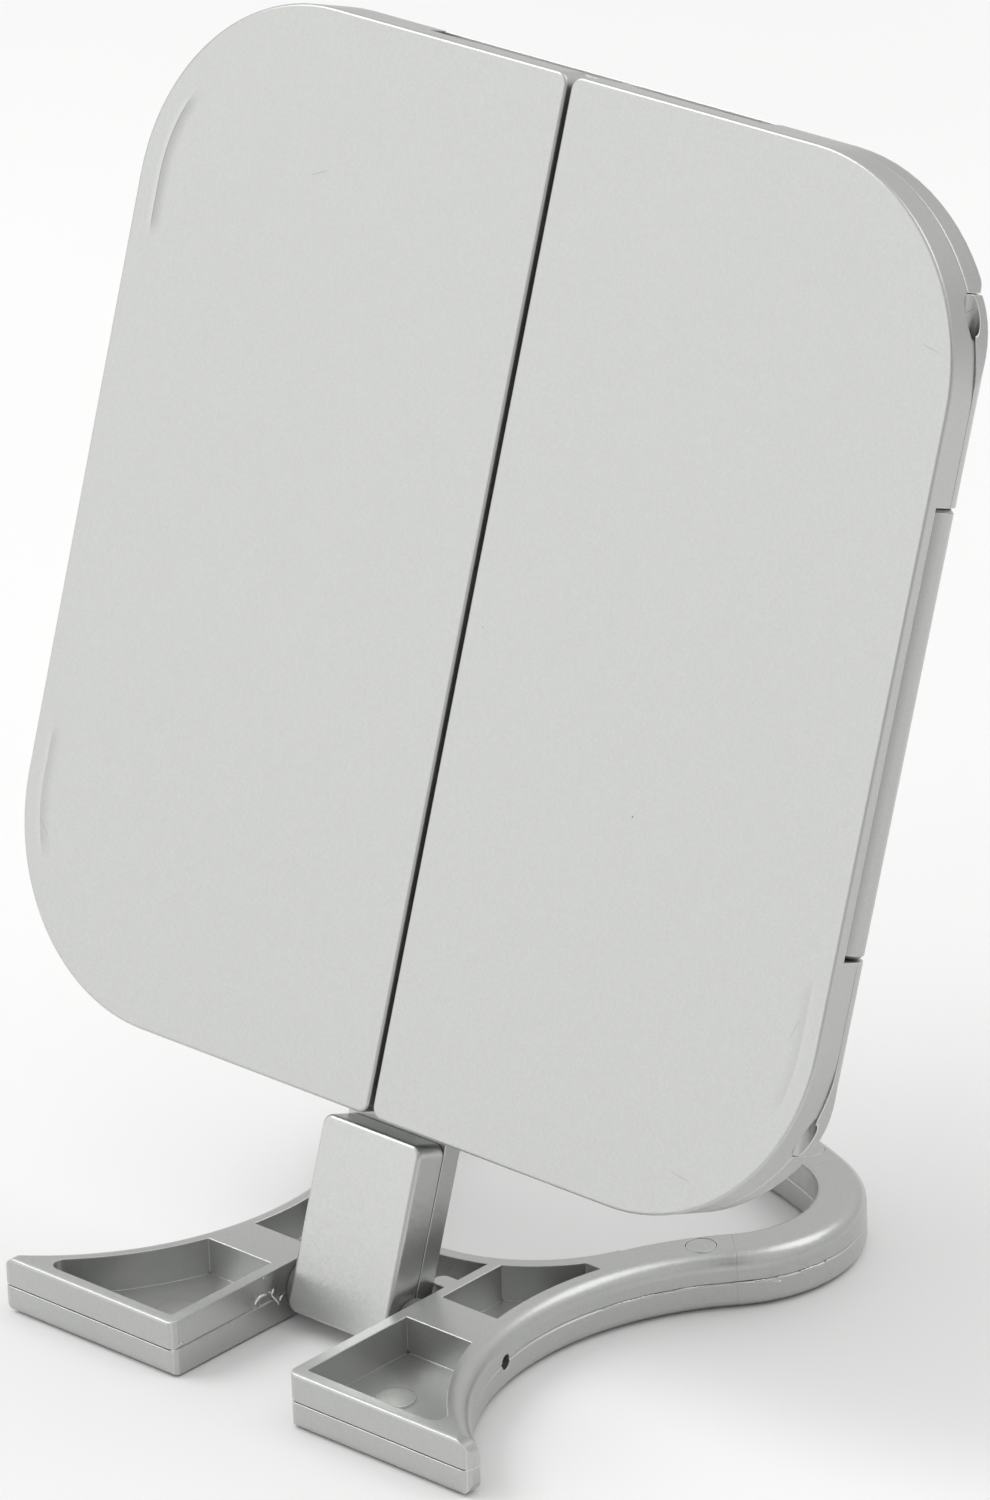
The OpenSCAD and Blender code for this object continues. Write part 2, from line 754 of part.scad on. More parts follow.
module neck_cover() {
    z1 = tongue_t + cover_t;
    x = neck_w / 2;
    y1 = -neck_gap;
    in_head() color("silver") difference() {
        union() {
            rim(-x, neck_y0, x, y1, cover_side, cover_side) difference() {
                translate([0, tongue_t]) square([cover_side, cover_t]);
                translate([0, z1]) fillet_cut(cover_edge_r);
                translate([0, tongue_t]) line_cut();
            }
            translate([0, 0, tongue_t]) linear_extrude(height = cover_t)
                translate([cover_side - x, neck_y0 + cover_side])
                    square([neck_w - 2 * cover_side, y1 - neck_y0 - 2 * cover_side]);
        }
        difference() {
            translate([cover_side - x, cover_core_y, 0])
                cube([neck_w - 2 * cover_side, y1 - cover_side - cover_core_y, z1 - cover_side]);
            at_neck_screws(0) cylinder(r = cover_boss_r, h = z1);
        }
        at_neck_screws(0)
            cylinder(r = neck_screw[0] + pin_clear, h = sink + neck_screw[3] + tip_room);
        sleeve_channel();
    }
}

module neck_screws() {
    in_head() color("gray") at_neck_screws(sink) screw(neck_screw);
}

module neck_sleeve() {
    in_head() color("gray") translate([-neck_w / 2, -neck_drop, tongue_t]) rotate([0, 90, 0])
        difference() {
            cylinder(r = sleeve_r, h = neck_w);
            translate([0, 0, -slack]) cylinder(r = tilt_pin_r + pin_clear, h = 2 * neck_w);
        }
}

module hinge_pins() {
    for (m = [0, 1])
        translate([0, m * head_h, 0]) mirror([0, m, 0])
            translate([pin_x, pin_y0, housing_t]) bar(hinge_pin_r, hinge_pin_len, pin_c);
}

module right_hinge_pins() {
    in_head() color("gray") hinge_pins();
}

module left_hinge_pins() {
    in_head() color("gray") mirror([1, 0, 0]) hinge_pins();
}

// ---------- mirrors ----------

// Frame with a rebate for its glass: the glass lies on the side of z1 away from the lip
module mirror_frame(x0, rl, z0, z1, glass_z0, glass_z1) {
    gx = x0 + frame_w - glass_lap;
    gr = max(rl, 1.5);
    difference() {
        translate([0, 0, z0]) linear_extrude(height = z1 - z0)
            round_rect(x0, frame_y0, frame_x, frame_y1, rl, frame_r);
        translate([0, 0, z0 - slack]) linear_extrude(height = z1 - z0 + 2 * slack)
            round_rect(
                x0 + frame_w, frame_y0 + frame_w, frame_x - frame_w, frame_y1 - frame_w,
                gr, glass_r
            );
        translate([0, 0, glass_z0]) linear_extrude(height = glass_z1 - glass_z0)
            round_rect(
                gx, frame_y0 + frame_w - glass_lap, frame_x - frame_w + glass_lap,
                frame_y1 - frame_w + glass_lap, gr + glass_lap, glass_r + glass_lap
            );
    }
}

// Plate that lies in a frame's rebate
module pane(x0, rl, z0, t) {
    inset = frame_w - glass_lap + part_clear;
    gr = max(rl, 1.5);
    translate([0, 0, z0]) linear_extrude(height = t)
        round_rect(
            x0 + inset, frame_y0 + inset, frame_x - inset, frame_y1 - inset,
            gr + glass_lap - part_clear, glass_r + glass_lap - part_clear
        );
}

module centre_frame() {
    z0 = back_t + frame_gap;
    in_head() color("gainsboro") difference() {
        mirror_frame(
            -frame_x, frame_r, z0, centre_z1, z0 - slack, centre_glass_z + glass_t + pane_gap
        );
        both_sides() at_catches(centre_z1 - catch_t - 2 * seat_clear)
            cylinder(r = catch_r + seat_clear, h = housing_t);
        at_frame_screws(0) cylinder(r = frame_screw[0] + pin_clear, h = sink + frame_screw[3]);
    }
}

// Magnet places at the top and bottom of the right door's seam side
module at_catches(z) {
    for (y = [catch_in, head_h - catch_in])
        translate([catch_x, y, z]) children();
}

module centre_glass() {
    in_head() color("lightblue") pane(-frame_x, frame_r, centre_glass_z, glass_t);
}

module centre_backing() {
    in_head() color("white") pane(-frame_x, frame_r, back_t + pane_gap, backing_t);
}

module door_magnets() {
    in_head() color("gray") both_sides() at_catches(centre_z1 - catch_t - seat_clear)
        cylinder(r = catch_r, h = catch_t);
}

module frame_screws() {
    in_head() color("gray") at_frame_screws(seat_clear) screw(frame_screw);
}

// ---------- doors: each is drawn as the right one ----------

module door_rim_profile() {
    difference() {
        translate([0, housing_t]) square([head_wall, door_t]);
        translate([0, head_t]) fillet_cut(door_edge_r);
        translate([0, housing_t]) line_cut();
    }
}

// Knuckles and the wall that carries them. Behind the parting plane they stand a little
// proud of the head's corners, and before it they end inside the door's side wall
module door_hinge() {
    parting = housing_t + knuckle_top;
    intersection() {
        union() {
            for (y = [notch_y0 - slack, barrel_y1 + end_gap])
                translate([pin_x, y, housing_t]) rotate([-90, 0, 0])
                    cylinder(r = knuckle_r, h = barrel_y0 - end_gap - notch_y0 + slack);
            translate([cavity_x, notch_y0, housing_t])
                cube([
                    head_w / 2 - root - cavity_x, notch_len,
                    door_face_z - housing_t + part_clear
                ]);
        }
        translate([cavity_x - slack, notch_y0 + part_clear, 0])
            cube([head_w, notch_len - 2 * part_clear, head_t]);
        union() {
            linear_extrude(height = parting) knuckle_plan(knuckle_bulge);
            linear_extrude(height = head_t) knuckle_plan(-knuckle_in);
        }
    }
}

// Outline that trims the knuckles, a distance outside the head's right half
module knuckle_plan(out) {
    round_rect(0, -out, head_w / 2 + out, head_h + out, head_r, head_r + out);
}

module door_shell() {
    x1 = head_w / 2;
    w = head_wall;
    difference() {
        union() {
            rim(door_x0, 0, x1, head_h, seam_r, head_r) door_rim_profile();
            translate([0, 0, door_face_z]) linear_extrude(height = w)
                round_rect(door_x0 + w, w, x1 - w, head_h - w, seam_r - w, head_r - w);
            door_hinge();
        }
        translate([pin_x, barrel_y0 - end_gap, 0]) {
            translate([0, 0, housing_t]) rotate([-90, 0, 0])
                cylinder(r = barrel_r + end_gap, h = barrel_len + 2 * end_gap);
            cube([head_w, barrel_len + 2 * end_gap, strip_z]);
        }
        hinge_holes();
    }
}

module door_frame() {
    difference() {
        mirror_frame(
            door_frame_x0, door_frame_r, door_frame_z0, door_frame_z1,
            door_glass_z - pane_gap, door_frame_z1 + slack
        );
        at_catches(0)
            cylinder(r = catch_r + seat_clear, h = door_frame_z0 + catch_t + 2 * seat_clear);
    }
}

module door_glass() {
    pane(door_frame_x0, door_frame_r, door_glass_z, glass_t);
}

module door_backing() {
    pane(door_frame_x0, door_frame_r, door_glass_z + glass_t + pane_gap / 2, backing_t);
}

module door_catches() {
    at_catches(door_frame_z0 + seat_clear) cylinder(r = catch_r, h = catch_t);
}

module right_door() {
    in_head() color("silver") door_shell();
}

module right_frame() {
    in_head() color("gainsboro") door_frame();
}

module right_glass() {
    in_head() color("lightblue") door_glass();
}

module right_backing() {
    in_head() color("white") door_backing();
}

module right_catches() {
    in_head() color("gray") door_catches();
}

module left_door() {
    in_head() color("silver") mirror([1, 0, 0]) door_shell();
}

module left_frame() {
    in_head() color("gainsboro") mirror([1, 0, 0]) door_frame();
}

module left_glass() {
    in_head() color("lightblue") mirror([1, 0, 0]) door_glass();
}

module left_backing() {
    in_head() color("white") mirror([1, 0, 0]) door_backing();
}

module left_catches() {
    in_head() color("gray") mirror([1, 0, 0]) door_catches();
}

stand_upper();
stand_lower();
stand_pads();
ring_plugs();
ring_screws();
stand_screws();
tilt_pin();
tilt_washers();
housing();
neck_cover();
neck_screws();
neck_sleeve();
centre_frame();
centre_glass();
centre_backing();
door_magnets();
frame_screws();
left_hinge_pins();
right_hinge_pins();
left_door();
left_frame();
left_glass();
left_backing();
left_catches();
right_door();
right_frame();
right_glass();
right_backing();
right_catches();
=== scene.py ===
import bmesh
import bpy
import math
import random
from mathutils import Matrix, Vector


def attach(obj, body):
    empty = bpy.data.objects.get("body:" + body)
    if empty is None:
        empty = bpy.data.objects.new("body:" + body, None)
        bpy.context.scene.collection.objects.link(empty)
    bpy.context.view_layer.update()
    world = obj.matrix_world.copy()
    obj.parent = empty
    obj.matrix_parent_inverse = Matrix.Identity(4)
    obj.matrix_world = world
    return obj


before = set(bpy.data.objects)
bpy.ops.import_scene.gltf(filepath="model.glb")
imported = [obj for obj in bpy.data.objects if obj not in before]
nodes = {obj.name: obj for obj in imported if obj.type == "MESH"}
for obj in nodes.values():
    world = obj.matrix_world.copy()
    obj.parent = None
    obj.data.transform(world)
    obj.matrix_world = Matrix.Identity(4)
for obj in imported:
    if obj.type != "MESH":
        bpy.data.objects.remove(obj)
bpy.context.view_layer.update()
print("frame loaded:", len(nodes), "CAD nodes")

# The head leans back about the tilt pin: these turn the part's coordinates into the panel's own
panel = {
    "lean": math.radians(19.15),
    "pin": Vector((0, -0.03025, 0.00525)),
    "fromPin": Vector((0, -0.0333, 0.0039)),
    "width": 0.178,
    "height": 0.177,
    "corner": 0.036,
}


# ---- node helpers ----

def setSocket(tree, target, name, value):
    if isinstance(value, bpy.types.NodeSocket):
        tree.links.new(value, target.inputs[name])
    else:
        target.inputs[name].default_value = value


def addNode(tree, kind, settings=None, **inputs):
    made = tree.nodes.new("ShaderNode" + kind)
    for name, value in (settings or {}).items():
        setattr(made, name, value)
    for name, value in inputs.items():
        setSocket(tree, made, name.replace("_", " "), value)
    return made


def mathNode(tree, operation, first, second=None, clamp=False):
    made = tree.nodes.new("ShaderNodeMath")
    made.operation, made.use_clamp = operation, clamp
    setSocket(tree, made, 0, first)
    if second is not None:
        setSocket(tree, made, 1, second)
    return made.outputs[0]


def noiseNode(tree, where, scale, detail=2.0, rough=0.5):
    made = addNode(tree, "TexNoise", Vector=where, Scale=scale, Detail=detail, Roughness=rough)
    return made.outputs["Fac"]


def rangeNode(tree, value, low, high, toLow, toHigh, smooth=False):
    made = tree.nodes.new("ShaderNodeMapRange")
    made.interpolation_type = "SMOOTHSTEP" if smooth else "LINEAR"
    for name, x in (("Value", value), ("From Min", low), ("From Max", high), ("To Min", toLow), ("To Max", toHigh)):
        setSocket(tree, made, name, x)
    return made.outputs["Result"]


def mixColour(tree, factor, first, second, blend="MIX"):
    made = tree.nodes.new("ShaderNodeMix")
    made.data_type, made.blend_type = "RGBA", blend
    for place, value in ((0, factor), (6, first), (7, second)):
        if isinstance(value, bpy.types.NodeSocket):
            tree.links.new(value, made.inputs[place])
        else:
            made.inputs[place].default_value = value
    return made.outputs[2]


def newMaterial(name, settings):
    made = bpy.data.materials.new(name)
    made.use_nodes = True
    tree = made.node_tree
    shader = tree.nodes["Principled BSDF"]
    for key, value in settings.items():
        shader.inputs[key].default_value = value
    return made, tree, shader


def grey(value, warm=0.0):
    return (value * (1 + warm), value, value * (1 - warm), 1.0)


def silverTone(value):
    return (value * 0.985, value, value * 0.975, 1.0)      # the paint is a very little green


def panelCoordinates(tree):
    turn = panel["lean"] - math.pi / 2
    spot = Matrix.Rotation(turn, 3, "X") @ -panel["pin"] + panel["fromPin"]
    here = addNode(tree, "TexCoord").outputs["Object"]
    made = addNode(tree, "Mapping", {"vector_type": "POINT"}, Vector=here)
    made.inputs["Location"].default_value = spot
    made.inputs["Rotation"].default_value = (turn, 0, 0)
    return made.outputs["Vector"]


def objectCoordinates(tree):
    return addNode(tree, "TexCoord").outputs["Object"]


# ---- silver paint on moulded plastic ----

paintLooks = {
    "doorSilver": {"grey": 0.55, "dark": 0.515, "metal": 0.90, "rough": 0.31, "round": 0.0003, "creased": True},
    "housingSilver": {"grey": 0.53, "dark": 0.49, "metal": 0.90, "rough": 0.29, "round": 0.0003, "creased": False},
    "neckSilver": {"grey": 0.575, "dark": 0.54, "metal": 0.92, "rough": 0.30, "round": 0.0004, "creased": False},
    "standSilver": {"grey": 0.54, "dark": 0.50, "metal": 0.80, "rough": 0.29, "round": 0.0003, "creased": False},
    # the flash is given a paler, glossier paint than the stand: a painted highlight for the light its thin ridges catch
    "standFlashHighlight": {"grey": 0.90, "dark": 0.78, "metal": 0.80, "rough": 0.20, "round": 0.00008, "creased": False},
    "bezelSilver": {"grey": 0.56, "dark": 0.52, "metal": 0.80, "rough": 0.30, "round": 0.0003, "creased": False},
}


def speckMask(tree, where, perMetre, radius, share):
    # a few cells of a Voronoi pattern each hold one small round speck
    cell = addNode(tree, "TexVoronoi", {"feature": "F1"}, Vector=where, Scale=perMetre)
    near = rangeNode(tree, cell.outputs["Distance"], radius * perMetre * 0.6, radius * perMetre, 1, 0)
    chosen = addNode(tree, "SeparateColor", Color=cell.outputs["Color"]).outputs[0]
    few = mathNode(tree, "LESS_THAN", chosen, share)
    return mathNode(tree, "MULTIPLY", near, few)


def hairMarks(tree, where, perMetre, halfLength, halfWidth, share):
    # in a few cells one short straight hairline lies at the cell's own angle
    cell = addNode(tree, "TexVoronoi", {"feature": "F1"}, Vector=where, Scale=perMetre)
    local = tree.nodes.new("ShaderNodeVectorMath")
    local.operation = "SUBTRACT"
    tree.links.new(where, local.inputs[0])
    centre = tree.nodes.new("ShaderNodeVectorMath")
    centre.operation = "SCALE"
    tree.links.new(cell.outputs["Position"], centre.inputs[0])
    centre.inputs["Scale"].default_value = 1.0
    tree.links.new(centre.outputs[0], local.inputs[1])
    chance = addNode(tree, "SeparateColor", Color=cell.outputs["Color"])
    spin = addNode(tree, "VectorRotate", {"rotation_type": "Z_AXIS"}, Vector=local.outputs[0],
                   Angle=mathNode(tree, "MULTIPLY", chance.outputs[1], 6.0))
    along = addNode(tree, "SeparateXYZ", Vector=spin.outputs["Vector"])
    ends = rangeNode(tree, mathNode(tree, "ABSOLUTE", along.outputs["X"]), halfLength * 0.5, halfLength, 1, 0)
    sides = rangeNode(tree, mathNode(tree, "ABSOLUTE", along.outputs["Y"]), halfWidth * 0.4, halfWidth, 1, 0)
    few = mathNode(tree, "LESS_THAN", chance.outputs[0], share)
    return mathNode(tree, "MULTIPLY", mathNode(tree, "MULTIPLY", ends, sides), few)


def vectorMath(tree, operation, first, second, **extra):
    made = tree.nodes.new("ShaderNodeVectorMath")
    made.operation = operation
    setSocket(tree, made, 0, first)
    setSocket(tree, made, 1, second)
    for name, value in extra.items():
        setSocket(tree, made, name, value)
    return made.outputs["Value"] if operation == "DOT_PRODUCT" else made.outputs["Vector"]


def flakeNormal(tree, where, normal, perMetre, tilt):
    # every metal flake in the paint lies at its own small angle
    cell = addNode(tree, "TexVoronoi", {"feature": "F1"}, Vector=where, Scale=perMetre)
    lean = vectorMath(tree, "MULTIPLY", vectorMath(tree, "SUBTRACT", cell.outputs["Color"], (0.5, 0.5, 0.5)),
                      (tilt, tilt, tilt))
    return vectorMath(tree, "NORMALIZE", vectorMath(tree, "ADD", normal, lean), (0, 0, 0))


# Creases where the doors' faces sank behind the walls that carry the hinge knuckles, drawn as painted shade and a
# painted highlight in the paint's colour and as a shallow bump. Each follows the door's outline: side, middle and half
# length up the panel, distance in from the outline, strength
creases = (
    (-1, 0.1440, 0.0135, 0.0046, 1.0),
    (-1, 0.0340, 0.0120, 0.0039, 0.6),
    (1, 0.0360, 0.0120, 0.0036, 0.35),
)


def insetNode(tree, where):
    # distance in from the head's rounded outline, right along its sides and round its corners
    split = addNode(tree, "SeparateXYZ", Vector=where)
    middle = mathNode(tree, "SUBTRACT", split.outputs["Y"], panel["height"] / 2)
    flat = addNode(tree, "CombineXYZ", X=split.outputs["X"], Y=middle)
    reach = (panel["width"] / 2 - panel["corner"], panel["height"] / 2 - panel["corner"], 0)
    past = vectorMath(tree, "SUBTRACT", vectorMath(tree, "ABSOLUTE", flat.outputs["Vector"], (0, 0, 0)), reach)
    past = vectorMath(tree, "MAXIMUM", past, (0, 0, 0))
    length = tree.nodes.new("ShaderNodeVectorMath")
    length.operation = "LENGTH"
    tree.links.new(past, length.inputs[0])
    return mathNode(tree, "SUBTRACT", panel["corner"], length.outputs["Value"])


def creaseMasks(tree, where):
    # for every crease a painted shade on its inner side and a painted highlight on its outer lip, for how light falls
    # across the sunken face
    inset = insetNode(tree, where)
    split = addNode(tree, "SeparateXYZ", Vector=where)
    shade, creaseHighlight = 0.0, 0.0
    for side, middle, half, distance, strength in creases:
        along = mathNode(tree, "ABSOLUTE", mathNode(tree, "SUBTRACT", split.outputs["Y"], middle))
        run = rangeNode(tree, along, half * 0.7, half, strength, 0, True)
        onSide = mathNode(tree, "GREATER_THAN", mathNode(tree, "MULTIPLY", split.outputs["X"], float(side)), 0.0)
        run = mathNode(tree, "MULTIPLY", run, onSide)
        inner = mathNode(tree, "MULTIPLY", rangeNode(tree, inset, distance - 0.0001, distance + 0.0001, 0, 1),
                         rangeNode(tree, inset, distance, distance + 0.0026, 1, 0, True))
        outer = rangeNode(tree, inset, distance - 0.0012, distance - 0.0001, 0, 1)
        outer = mathNode(tree, "MULTIPLY", outer, rangeNode(tree, inset, distance - 0.0001, distance + 0.0001, 1, 0))
        shade = mathNode(tree, "ADD", mathNode(tree, "MULTIPLY", inner, run), shade)
        creaseHighlight = mathNode(tree, "ADD", mathNode(tree, "MULTIPLY", outer, run), creaseHighlight)
    return shade, creaseHighlight


def silverPaint(name, look, onHead):
    made, tree, shader = newMaterial(name, {
        "Metallic": look["metal"], "Coat Weight": 0.10, "Coat Roughness": 0.25, "Coat IOR": 1.45})
    where = panelCoordinates(tree) if onHead else objectCoordinates(tree)
    grain = noiseNode(tree, where, 2800.0, 1.0)
    cloud = noiseNode(tree, where, 55.0, 3.0, 0.6)
    flake = addNode(tree, "TexVoronoi", {"feature": "F1"}, Vector=where, Scale=2600.0)
    sparkle = addNode(tree, "SeparateColor", Color=flake.outputs["Color"]).outputs[2]
    tone = mathNode(tree, "ADD", mathNode(tree, "MULTIPLY", sparkle, 0.25), mathNode(tree, "MULTIPLY", grain, 0.45))
    tone = mathNode(tree, "ADD", tone, mathNode(tree, "MULTIPLY", cloud, 0.3))
    tone = rangeNode(tree, tone, 0.3, 0.7, 0, 1)
    colour = mixColour(tree, tone, silverTone(look["dark"]), silverTone(look["grey"]))

    # painted highlight along sharp edges, where the bevel's normal turns from the face's, broken up by noise; painted
    # shade in narrow gaps, found by ambient occlusion
    bevel = addNode(tree, "Bevel", {"samples": 6}, Radius=look["round"]).outputs["Normal"]
    face = addNode(tree, "NewGeometry").outputs["Normal"]
    paintedEdgeHighlight = rangeNode(tree, vectorMath(tree, "DOT_PRODUCT", bevel, face), 0.985, 0.88, 0, 1)
    narrow = addNode(tree, "AmbientOcclusion", {"samples": 8}, Distance=0.0008).outputs["AO"]
    paintedGapShade = rangeNode(tree, narrow, 0.58, 0.30, 0, 1)
    paintedEdgeHighlight = mathNode(tree, "MULTIPLY", paintedEdgeHighlight, mathNode(tree, "SUBTRACT", 1.0, paintedGapShade, True))
    paintedEdgeHighlight = mathNode(tree, "MULTIPLY", paintedEdgeHighlight, rangeNode(tree, noiseNode(tree, where, 300.0, 2.0), 0.3, 0.5, 0.6, 1))
    # painted highlight: sharp edges mixed towards near white
    colour = mixColour(tree, mathNode(tree, "MULTIPLY", paintedEdgeHighlight, 0.85), colour, grey(0.95))
    # painted shade: narrow gaps mixed towards near black
    colour = mixColour(tree, mathNode(tree, "MULTIPLY", paintedGapShade, 0.85), colour, grey(0.06, 0.03))

    specks = speckMask(tree, where, 95.0, 0.00024, 0.07)
    colour = mixColour(tree, mathNode(tree, "MULTIPLY", specks, 0.75), colour, grey(0.10, 0.05))
    dust = speckMask(tree, where, 240.0, 0.00017, 0.12)
    colour = mixColour(tree, mathNode(tree, "MULTIPLY", dust, 0.6), colour, grey(0.18, 0.03))
    marks = hairMarks(tree, where, 60.0, 0.0022, 0.00010, 0.05)
    colour = mixColour(tree, mathNode(tree, "MULTIPLY", marks, 0.4), colour, grey(0.22))
    if look["creased"]:
        # painted shade inside each sink crease and a painted highlight on its outer lip
        shade, creaseHighlight = creaseMasks(tree, where)
        colour = mixColour(tree, mathNode(tree, "MULTIPLY", shade, 0.45, True), colour, grey(0.26))
        colour = mixColour(tree, mathNode(tree, "MULTIPLY", creaseHighlight, 0.22, True), colour, grey(0.80))
    tree.links.new(colour, shader.inputs["Base Color"])

    wear = rangeNode(tree, cloud, 0.3, 0.7, look["rough"] - 0.02, look["rough"] + 0.03)
    wear = mathNode(tree, "ADD", wear, mathNode(tree, "MULTIPLY", paintedGapShade, 0.3))
    tree.links.new(wear, shader.inputs["Roughness"])
    normal = flakeNormal(tree, where, bevel, 2600.0, 0.03)
    pits = mathNode(tree, "SUBTRACT", mathNode(tree, "MULTIPLY", grain, 0.25), mathNode(tree, "ADD", specks, dust))
    bump = addNode(tree, "Bump", Strength=0.6, Distance=0.00004, Height=pits, Normal=normal)
    if look["creased"]:
        bump = addNode(tree, "Bump", Strength=1.0, Distance=0.00008, Height=mathNode(tree, "MULTIPLY", shade, -1.0),
                       Normal=bump.outputs["Normal"])
    tree.links.new(bump.outputs["Normal"], shader.inputs["Normal"])
    return made


silver = {name: silverPaint(name, look, not name.startswith("stand")) for name, look in paintLooks.items()}
print("silver paints made:", len(silver))


# ---- mirrors, sheets and small metal ----

def mirrorSilver():
    made, tree, shader = newMaterial("mirrorSilver", {
        "Metallic": 1.0, "Specular IOR Level": 0.5, "Coat Weight": 0.6, "Coat Roughness": 0.02})
    where = panelCoordinates(tree)
    haze = noiseNode(tree, where, 34.0, 4.0, 0.6)
    smear = rangeNode(tree, haze, 0.48, 0.72, 0.012, 0.05)
    specks = speckMask(tree, where, 160.0, 0.0002, 0.05)
    tree.links.new(mathNode(tree, "ADD", smear, mathNode(tree, "MULTIPLY", specks, 0.4)), shader.inputs["Roughness"])
    colour = mixColour(tree, specks, (0.72, 0.74, 0.735, 1), (0.55, 0.55, 0.54, 1))
    tree.links.new(colour, shader.inputs["Base Color"])
    bump = addNode(tree, "Bump", Strength=0.05, Distance=0.00002, Height=noiseNode(tree, where, 14.0, 1.0))
    tree.links.new(bump.outputs["Normal"], shader.inputs["Normal"])
    return made


def foamSheet():
    made, tree, shader = newMaterial("foamSheet", {"Roughness": 0.85, "Specular IOR Level": 0.25})
    where = panelCoordinates(tree)
    cells = addNode(tree, "TexVoronoi", {"feature": "F1"}, Vector=where, Scale=2600.0).outputs["Distance"]
    colour = mixColour(tree, rangeNode(tree, cells, 0.1, 0.7, 1, 0), (0.72, 0.71, 0.66, 1), (0.86, 0.85, 0.8, 1))
    tree.links.new(colour, shader.inputs["Base Color"])
    bump = addNode(tree, "Bump", Strength=0.5, Distance=0.0001, Height=cells)
    tree.links.new(bump.outputs["Normal"], shader.inputs["Normal"])
    return made


def metalFinish(name, tone, rough, lineScale, tint=0.0):
    made, tree, shader = newMaterial(name, {"Metallic": 1.0})
    where = objectCoordinates(tree)
    stretch = addNode(tree, "Mapping", Vector=where)
    stretch.inputs["Scale"].default_value = (lineScale, lineScale * 0.08, lineScale)
    lines = addNode(tree, "TexNoise", Vector=stretch.outputs["Vector"], Scale=1.0, Detail=3.0).outputs["Fac"]
    blotch = noiseNode(tree, where, 420.0, 3.0)
    colour = mixColour(tree, rangeNode(tree, blotch, 0.35, 0.65, 0, 1), grey(tone * 0.86, tint), grey(tone, tint))
    # painted shade: deep in holes and bores the metal is mixed towards near black, found by ambient occlusion
    holeShade = addNode(tree, "AmbientOcclusion", {"samples": 8}, Distance=0.004).outputs["AO"]
    colour = mixColour(tree, rangeNode(tree, holeShade, 0.75, 0.35, 0, 0.9), colour, grey(0.04, 0.05))
    tree.links.new(colour, shader.inputs["Base Color"])
    tree.links.new(rangeNode(tree, lines, 0.3, 0.7, rough - 0.06, rough + 0.08), shader.inputs["Roughness"])
    bevel = addNode(tree, "Bevel", {"samples": 4}, Radius=0.0002)
    bump = addNode(tree, "Bump", Strength=0.3, Distance=0.00002, Height=lines, Normal=bevel.outputs["Normal"])
    tree.links.new(bump.outputs["Normal"], shader.inputs["Normal"])
    return made


def darkPolymer(name, tone, rough, scale):
    made, tree, shader = newMaterial(name, {"Specular IOR Level": 0.4})
    where = objectCoordinates(tree)
    grain = noiseNode(tree, where, scale, 3.0)
    blotch = noiseNode(tree, where, 260.0, 2.0)
    colour = mixColour(tree, rangeNode(tree, blotch, 0.35, 0.65, 0, 1), grey(tone * 0.75), grey(tone * 1.2))
    tree.links.new(colour, shader.inputs["Base Color"])
    tree.links.new(rangeNode(tree, grain, 0.3, 0.7, rough - 0.08, rough + 0.1), shader.inputs["Roughness"])
    bump = addNode(tree, "Bump", Strength=0.5, Distance=0.00006, Height=grain)
    tree.links.new(bump.outputs["Normal"], shader.inputs["Normal"])
    return made


plated = metalFinish("zincPlate", 0.66, 0.30, 2400.0, 0.01)
catchSteel = metalFinish("catchSteel", 0.60, 0.34, 1800.0)
nickel = metalFinish("magnetNickel", 0.72, 0.20, 900.0, 0.01)
finishes = {
    "stand_upper": silver["standSilver"], "stand_lower": silver["standSilver"],
    "ring_plugs": silver["standSilver"], "housing": silver["housingSilver"],
    "neck_cover": silver["neckSilver"], "left_door": silver["doorSilver"], "right_door": silver["doorSilver"],
    "centre_frame": silver["bezelSilver"], "left_frame": silver["bezelSilver"], "right_frame": silver["bezelSilver"],
    "door_magnets": nickel, "left_catches": catchSteel, "right_catches": catchSteel,
    "stand_pads": darkPolymer("padRubber", 0.035, 0.75, 2200.0),
    "tilt_washers": darkPolymer("washerNylon", 0.22, 0.5, 1600.0),
}
mirrorLook, foamLook = mirrorSilver(), foamSheet()
for side in ("centre", "left", "right"):
    finishes[side + "_glass"] = mirrorLook
    finishes[side + "_backing"] = foamLook
for name, item in nodes.items():
    item.data.materials.clear()
    item.data.materials.append(finishes.get(name, plated))
print("finishes given to", len(nodes), "nodes")


# ---- flash left by the mould on the stand ----

def pullRidge(build, points, thick, chance):
    # one small round face is pulled from point to point, uneven, and narrows towards both ends
    ways = [(b - a).normalized() for a, b in zip(points, points[1:])]
    ways.append(ways[-1])
    sizes = [thick * (0.3 + 0.7 * math.sin(math.pi * (i + 0.3) / (len(points) - 0.4)) ** 0.7) *
             chance.uniform(0.75, 1.15) for i in range(len(points))]
    start = Matrix.Translation(points[0]) @ ways[0].to_track_quat("Z", "Y").to_matrix().to_4x4()
    made = bmesh.ops.create_circle(build, cap_ends=True, segments=6, radius=sizes[0], matrix=start)
    tip = list(made["verts"][0].link_faces)
    for i in range(1, len(points)):
        made = bmesh.ops.extrude_face_region(build, geom=tip)
        moved = [part for part in made["geom"] if isinstance(part, bmesh.types.BMVert)]
        tip = [part for part in made["geom"] if isinstance(part, bmesh.types.BMFace)]
        turn = ways[i - 1].rotation_difference(ways[i]).to_matrix()
        bmesh.ops.rotate(build, verts=moved, cent=points[i - 1], matrix=turn)
        bmesh.ops.translate(build, verts=moved, vec=points[i] - points[i - 1])
        grow = sizes[i] / sizes[i - 1]
        bmesh.ops.scale(build, verts=moved, vec=(grow, grow, grow), space=Matrix.Translation(-points[i]))


